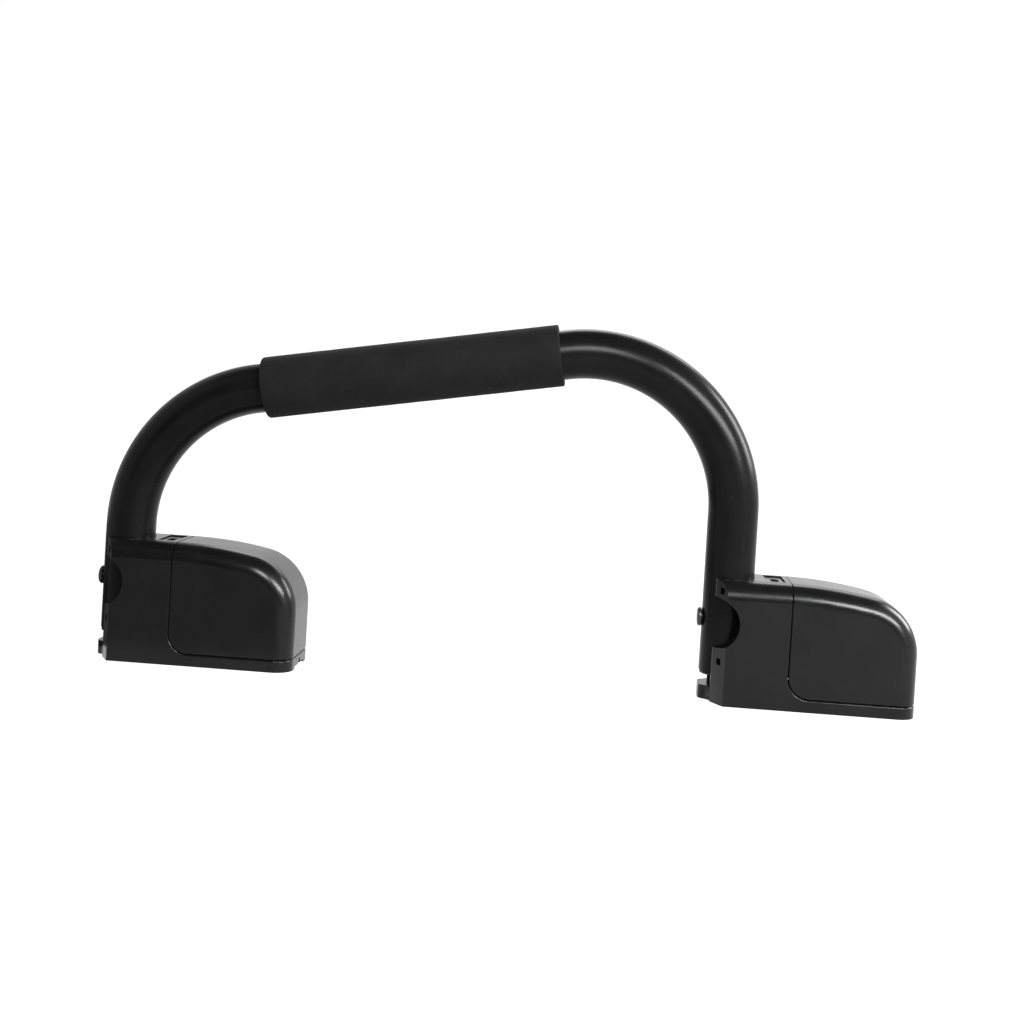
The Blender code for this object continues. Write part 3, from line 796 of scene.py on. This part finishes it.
def bolt_profile():
    """(x, radius) points of the bolt, from the middle of its head to the middle of its tip."""
    face = BOLT_SEAT - BOLT_HEAD_HEIGHT
    profile = [(face, 0.0)]
    for i in range(10):
        angle = math.radians(10 * i)
        x = face + BOLT_DOME_DEPTH * (1 - math.cos(angle))
        profile.append((x, BOLT_HEAD_RADIUS - BOLT_DOME_WIDTH * (1 - math.sin(angle))))
    profile.append((BOLT_SEAT - BOLT_HEAD_EDGE, BOLT_HEAD_RADIUS))
    profile.append((BOLT_SEAT, BOLT_HEAD_RADIUS - BOLT_HEAD_EDGE))
    profile += [(BOLT_SEAT, BOLT_RADIUS), (BOLT_TIP - BOLT_TIP_CHAMFER, BOLT_RADIUS)]
    return [*profile, (BOLT_TIP, BOLT_RADIUS - BOLT_TIP_CHAMFER), (BOLT_TIP, 0.0)]


def leg_bolt():
    """A button-head bolt along X, lathed, with a hexagon socket in the head."""
    bm = bmesh.new()
    angles = [2 * math.pi * k / BOLT_SIDES for k in range(BOLT_SIDES)]
    rows = []
    for x, radius in bolt_profile():
        around = angles if radius else angles[:1]
        row = []
        for angle in around:
            height = BOLT_HEIGHT + radius * math.sin(angle)
            row.append(bm.verts.new((x, radius * math.cos(angle), height)))
        rows.append(row)
    for first, second in zip(rows, rows[1:]):
        for k in range(BOLT_SIDES):
            m = (k + 1) % BOLT_SIDES
            near = (first[k % len(first)], first[m % len(first)])
            far = (second[m % len(second)], second[k % len(second)])
            bm.faces.new(list(dict.fromkeys(near + far)))
    bmesh.ops.recalc_face_normals(bm, faces=bm.faces)
    bolt = object_from("bolt", bm)
    ends = [(BOLT_SEAT - depth, 0, BOLT_HEIGHT) for depth in (BOLT_SOCKET_START, 0.01)]
    return smooth(cut(bolt, cylinder(*ends, BOLT_SOCKET_RADIUS, 6)), 30)


# ---------------------------------------------------------------- assembly

dress(tube(), "tube", POWDER, "powder_coat", "rail", "hoop_tube")
foam = dress(grip(), "foam_sleeve", FOAM, "foam", "rail", "foam_grip")

MOUNT_PIECES = (
    ("housing_shell", housing, PLASTIC, "housing_plastic", "rail", "housing"),
    ("nose_shell", nose_cover, PLASTIC, "housing_plastic", "rail", "nose_cover"),
    ("bolt", leg_bolt, OXIDE, "bolt_steel", "rail", "leg_bolt"),
    ("button", release_button, PLASTIC, "housing_plastic", "button", "release_button"),
)
for piece, build, material, slot, body, node in MOUNT_PIECES:
    master = build()
    for side in ("left", "right"):
        copy = add_object("copy", master.data.copy())
        moved(copy, LEG_X[side])
        rides_on = "rail" if body == "rail" else f"{side}_{body}"
        dress(copy, f"{side}_{piece}", material, slot, rides_on, f"{side}_{node}")
    bpy.data.objects.remove(master, do_unlink=True)

CAD_LOOKS = {
    "leg_nut": ZINC,
    "crush_sleeve": ZINC,
    "tube_plug": PLASTIC,
    "latch_lever": ZINC,
    "pivot_pin": ZINC,
    "return_spring": SPRING,
    "mount_plate": ZINC,
    "plate_screw_1": ZINC,
    "plate_screw_2": ZINC,
    "plate_screw_3": ZINC,
    "cover_screw_1": ZINC,
    "cover_screw_2": ZINC,
}
for side in ("left", "right"):
    for node, material in CAD_LOOKS.items():
        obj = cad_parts[f"{side}_{node}"]
        obj.data.materials.clear()
        obj.data.materials.append(material)
        smooth(obj, 35)


# ---------------------------------------------------------------- studio


def stage_card(name, low, high, material):
    """A thin box of the studio, which isn't part of the object."""
    card = box(low, high)
    card.name = name
    card.data.materials.append(material)
    return card


def pale_floor():
    """A floor that glows just enough to stay white."""
    n = Nodes("pale_floor")
    cloud = n.noise(1.4, 3.0, 0.5)
    colour = n.colours(cloud, [(0.3, grey(0.12)), (0.7, grey(0.13))])
    n.shader.inputs["Emission Color"].default_value = (1.0, 1.0, 1.0, 1.0)
    n.shader.inputs["Emission Strength"].default_value = 1.0
    return n.finish(colour, n.spread(cloud, 0.85, 0.90), n.bump(cloud, 0.0001, 0.1), specular=0.1)


def flag_cloth(name, glow):
    """Dark cloth that keeps light out of the reflections; glow lets some of it back in."""
    n = Nodes(f"{name}_cloth")
    cloud = n.noise(2.0, 2.0, 0.5)
    n.shader.inputs["Emission Color"].default_value = (1.0, 1.0, 1.0, 1.0)
    n.shader.inputs["Emission Strength"].default_value = glow
    return n.finish(
        n.colours(cloud, [(0.3, grey(0.020)), (0.7, grey(0.021))]),
        n.spread(cloud, 0.9, 0.95),
        n.bump(cloud, 0.0001, 0.1),
        specular=0.0,
    )


stage_card("floor", (-14, -14, -0.02), (14, 14, 0.0), pale_floor())
FLAGS = (
    ("front_flag", (-1.8, -1.75, 0.02), (1.8, -1.70, 2.6), 0.0),
    ("left_floor_flag", (-0.95, -0.03, 0.002), (-0.268, 0.62, 0.004), 0.06),
    ("front_floor_flag", (-0.62, -0.80, 0.002), (-0.10, -0.07, 0.004), 0.60),
)
for name, low, high, glow in FLAGS:
    stage_card(name, low, high, flag_cloth(name, glow)).visible_camera = False


def studio_world():
    """White round the horizon, brighter to the right, and dark overhead."""
    world = bpy.data.worlds.new("studio")
    bpy.context.scene.world = world
    world.use_nodes = True
    tree = world.node_tree
    place = tree.nodes.new("ShaderNodeTexCoord")
    split = tree.nodes.new("ShaderNodeSeparateXYZ")
    fade = tree.nodes.new("ShaderNodeMapRange")
    fade.interpolation_type = "SMOOTHSTEP"
    set_range(fade, 0.66, 0.92, 1.0, 0.06)
    sideways = tree.nodes.new("ShaderNodeMapRange")
    set_range(sideways, -0.3, 0.3, 1.0, 1.45)
    tree.links.new(place.outputs["Generated"], split.inputs["Vector"])
    tree.links.new(split.outputs["Z"], fade.inputs["Value"])
    tree.links.new(split.outputs["X"], sideways.inputs["Value"])
    tree.links.new(fade.outputs["Result"], tree.nodes["Background"].inputs["Color"])
    tree.links.new(sideways.outputs["Result"], tree.nodes["Background"].inputs["Strength"])


def area_light(name, place, target, width, height, radiance):
    """A soft light at a place, facing a target, with its brightness given as radiance."""
    light = bpy.data.lights.new(name, "AREA")
    light.shape = "RECTANGLE"
    light.size, light.size_y = width, height
    light.energy = radiance * math.pi * width * height
    obj = add_object(name, light)
    obj.location = place
    obj.rotation_mode = "QUATERNION"
    obj.rotation_quaternion = (Vector(target) - Vector(place)).to_track_quat("-Z", "Y")
    return obj


studio_world()
area_light("front_softbox", (0.90, -0.86, 0.62), (0.90, 0.0, 0.08), 1.00, 0.24, 64)
area_light("left_softbox", (0.03, -0.86, 0.62), (0.03, 0.0, 0.08), 0.26, 0.24, 50)
area_light("back_softbox", (0.20, 1.30, 1.25), (0.0, 0.0, 0.10), 1.60, 0.60, 4)
area_light("side_softbox", (1.20, 0.35, 0.70), (0.10, 0.0, 0.10), 0.40, 0.70, 26)

YAW, PITCH, ROLL = (math.radians(angle) for angle in (4.14, 1.0, 3.38))
# Millimetres, and a share of the picture's height
SENSOR_WIDTH = 36.0
LENS = 49.21875
SHIFT_UP = -0.10322266
CAMERA_FROM_RIGHT_LEG = Vector((-0.0798, -0.8971, 0.1924))


def photo_camera():
    """The camera, placed from the right leg's foot and rolled a little."""
    camera = bpy.data.cameras.new("camera")
    camera.sensor_width = SENSOR_WIDTH
    camera.lens = LENS
    camera.shift_y = SHIFT_UP
    obj = add_object("camera", camera)
    level = Vector((-math.sin(YAW), math.cos(YAW), 0.0))
    forward = level * math.cos(PITCH) - Vector((0.0, 0.0, math.sin(PITCH)))
    right = Vector((math.cos(YAW), math.sin(YAW), 0.0))
    up = right.cross(forward)
    side = right * math.cos(ROLL) + up * math.sin(ROLL)
    top = up * math.cos(ROLL) - right * math.sin(ROLL)
    turn = Matrix((side, top, -forward)).transposed()
    place = Vector((LEG_X["right"], 0.0, 0.0)) + CAMERA_FROM_RIGHT_LEG
    obj.matrix_world = Matrix.Translation(place) @ turn.to_4x4()
    bpy.context.scene.camera = obj


photo_camera()
bpy.context.scene.view_settings.view_transform = "Standard"
